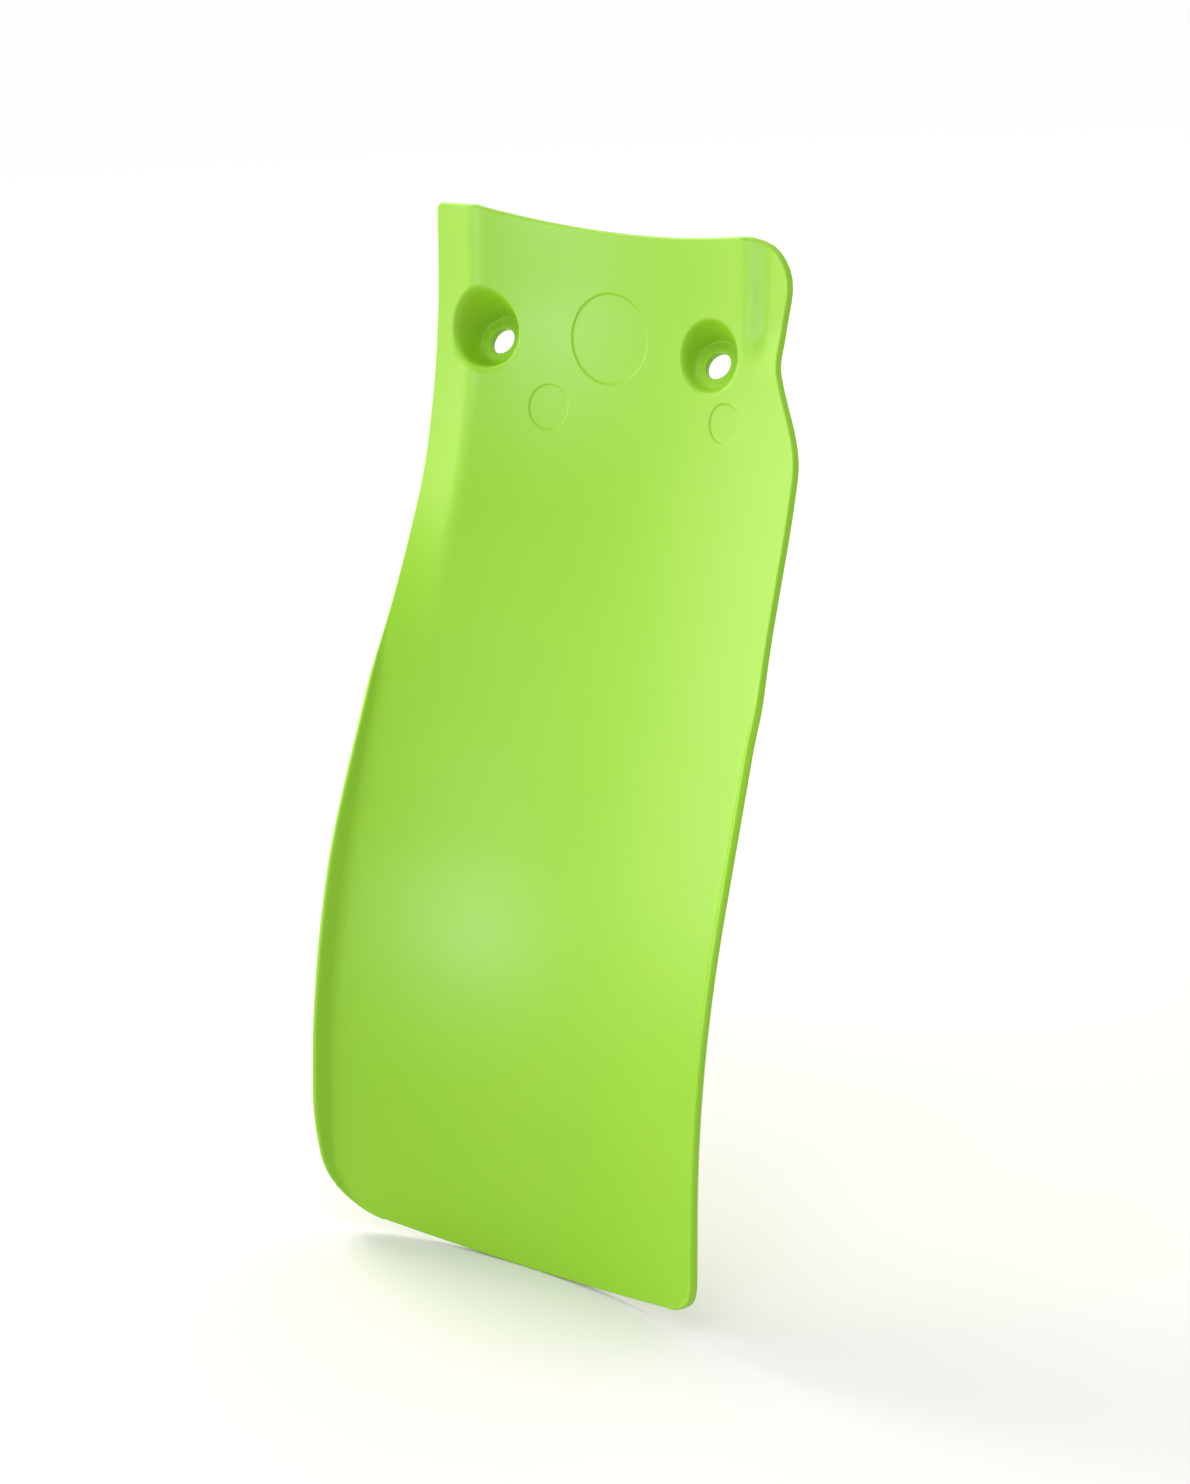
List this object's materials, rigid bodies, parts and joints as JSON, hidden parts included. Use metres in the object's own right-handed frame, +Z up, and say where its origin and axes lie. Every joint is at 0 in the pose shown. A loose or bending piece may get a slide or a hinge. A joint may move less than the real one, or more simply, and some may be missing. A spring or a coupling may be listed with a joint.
{
  "type": "mud flap",
  "caption": "Moulded plastic mud flap: a tall curved sheet with a hollow front, turned-up side lips and tilted screw cups near its top edge.",
  "frame": {"origin": "midway between the centres of the two screw seats, on the cups' floors", "axes": "+X across the flap from the left cup to the right cup seen from the hollow front, -Y out of the hollow front, +Z up"},
  "size_m": [0.1246, 0.067, 0.2715],
  "materials": {
    "flap_plastic": "satin, fine moulded grain"
  },
  "bodies": {
    "root": {"flap": "flap_plastic"}
  },
  "joints": []
}
